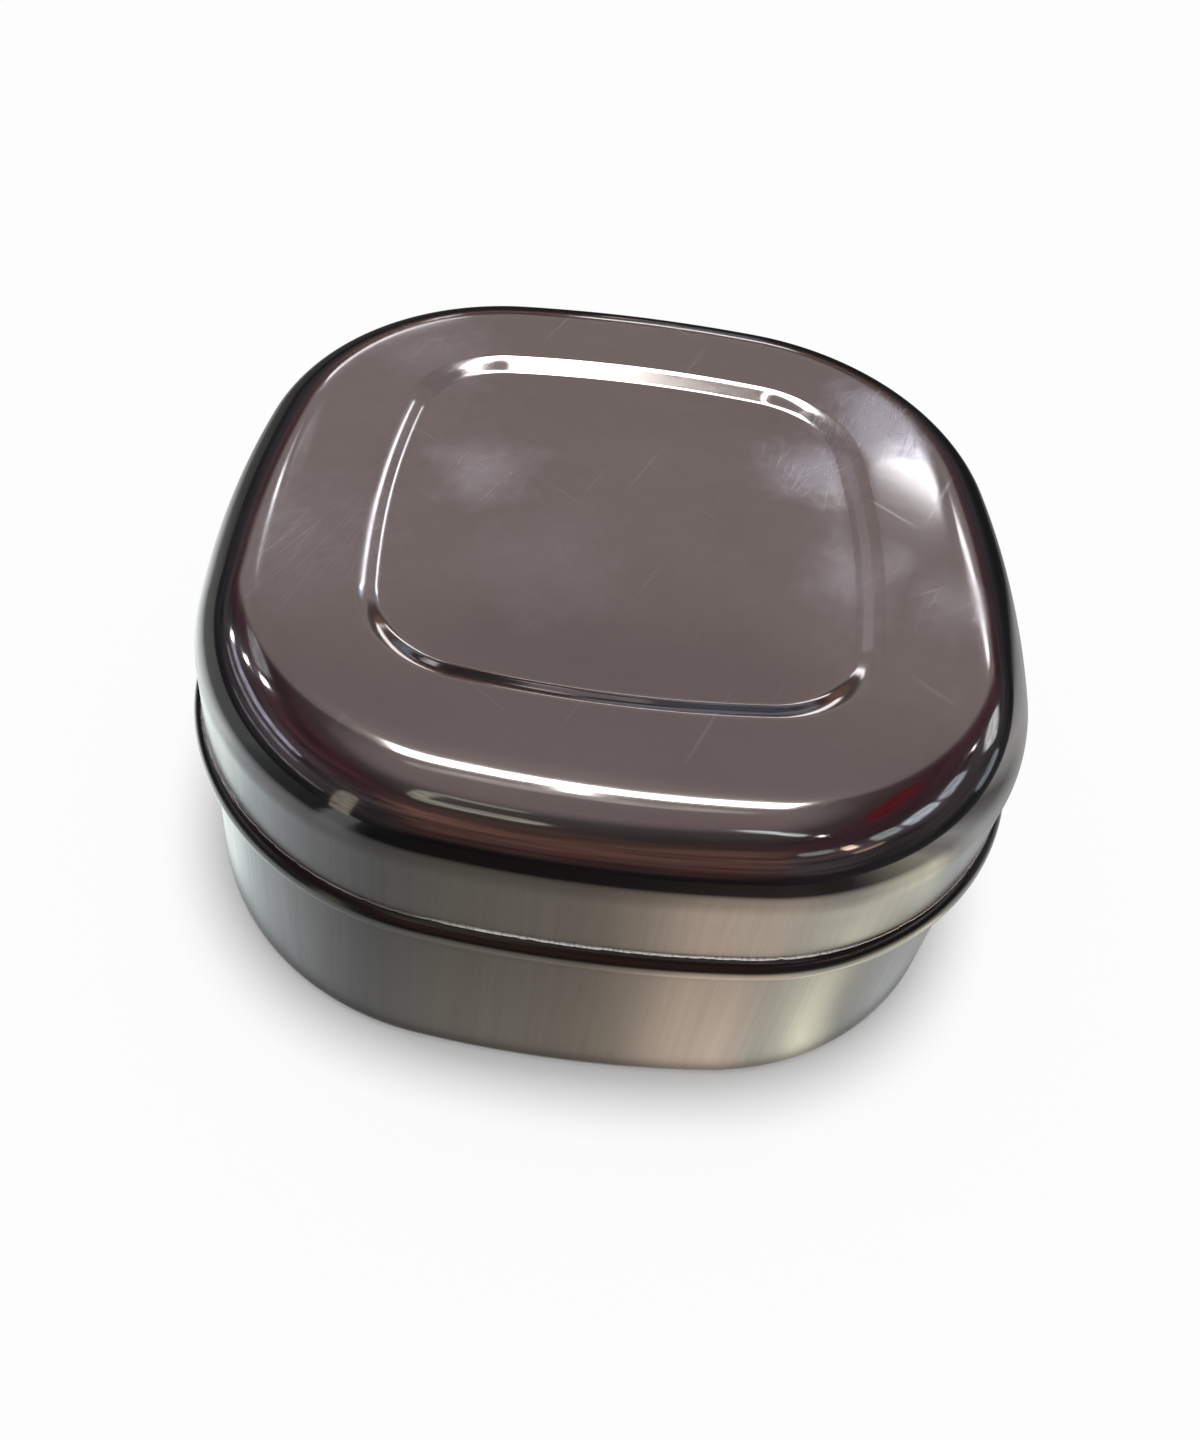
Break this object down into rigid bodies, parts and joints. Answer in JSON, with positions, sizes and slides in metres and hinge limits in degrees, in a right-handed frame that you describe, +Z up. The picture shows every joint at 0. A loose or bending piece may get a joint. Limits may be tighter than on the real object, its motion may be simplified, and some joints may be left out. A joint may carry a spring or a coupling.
{
  "type": "lunch box",
  "caption": "Square steel lunch box with bowed sides: a drawn base with a rolled stop bead, and a slip-over lid with a panel pressed down in its top.",
  "frame": {"origin": "on the surface the box stands on, under the middle of the box", "axes": "+Z up through the middle of the lid, +X and +Y square to the sides, which are alike all four ways"},
  "size_m": [0.1326, 0.1326, 0.059],
  "materials": {
    "lid_steel": "stainless steel, polished and finely scratched on the top and fillet, brushed upright on the skirt",
    "base_steel": "stainless steel, brushed upright on the wall, polished on the bead"
  },
  "bodies": {
    "base": {"base": "base_steel"},
    "lid": {"lid": "lid_steel"}
  },
  "joints": [
    {"name": "lid_lift", "type": "slide", "parent": "base", "child": "lid", "axis": [0, 0, 1], "range_m": [0, 0.08]}
  ]
}
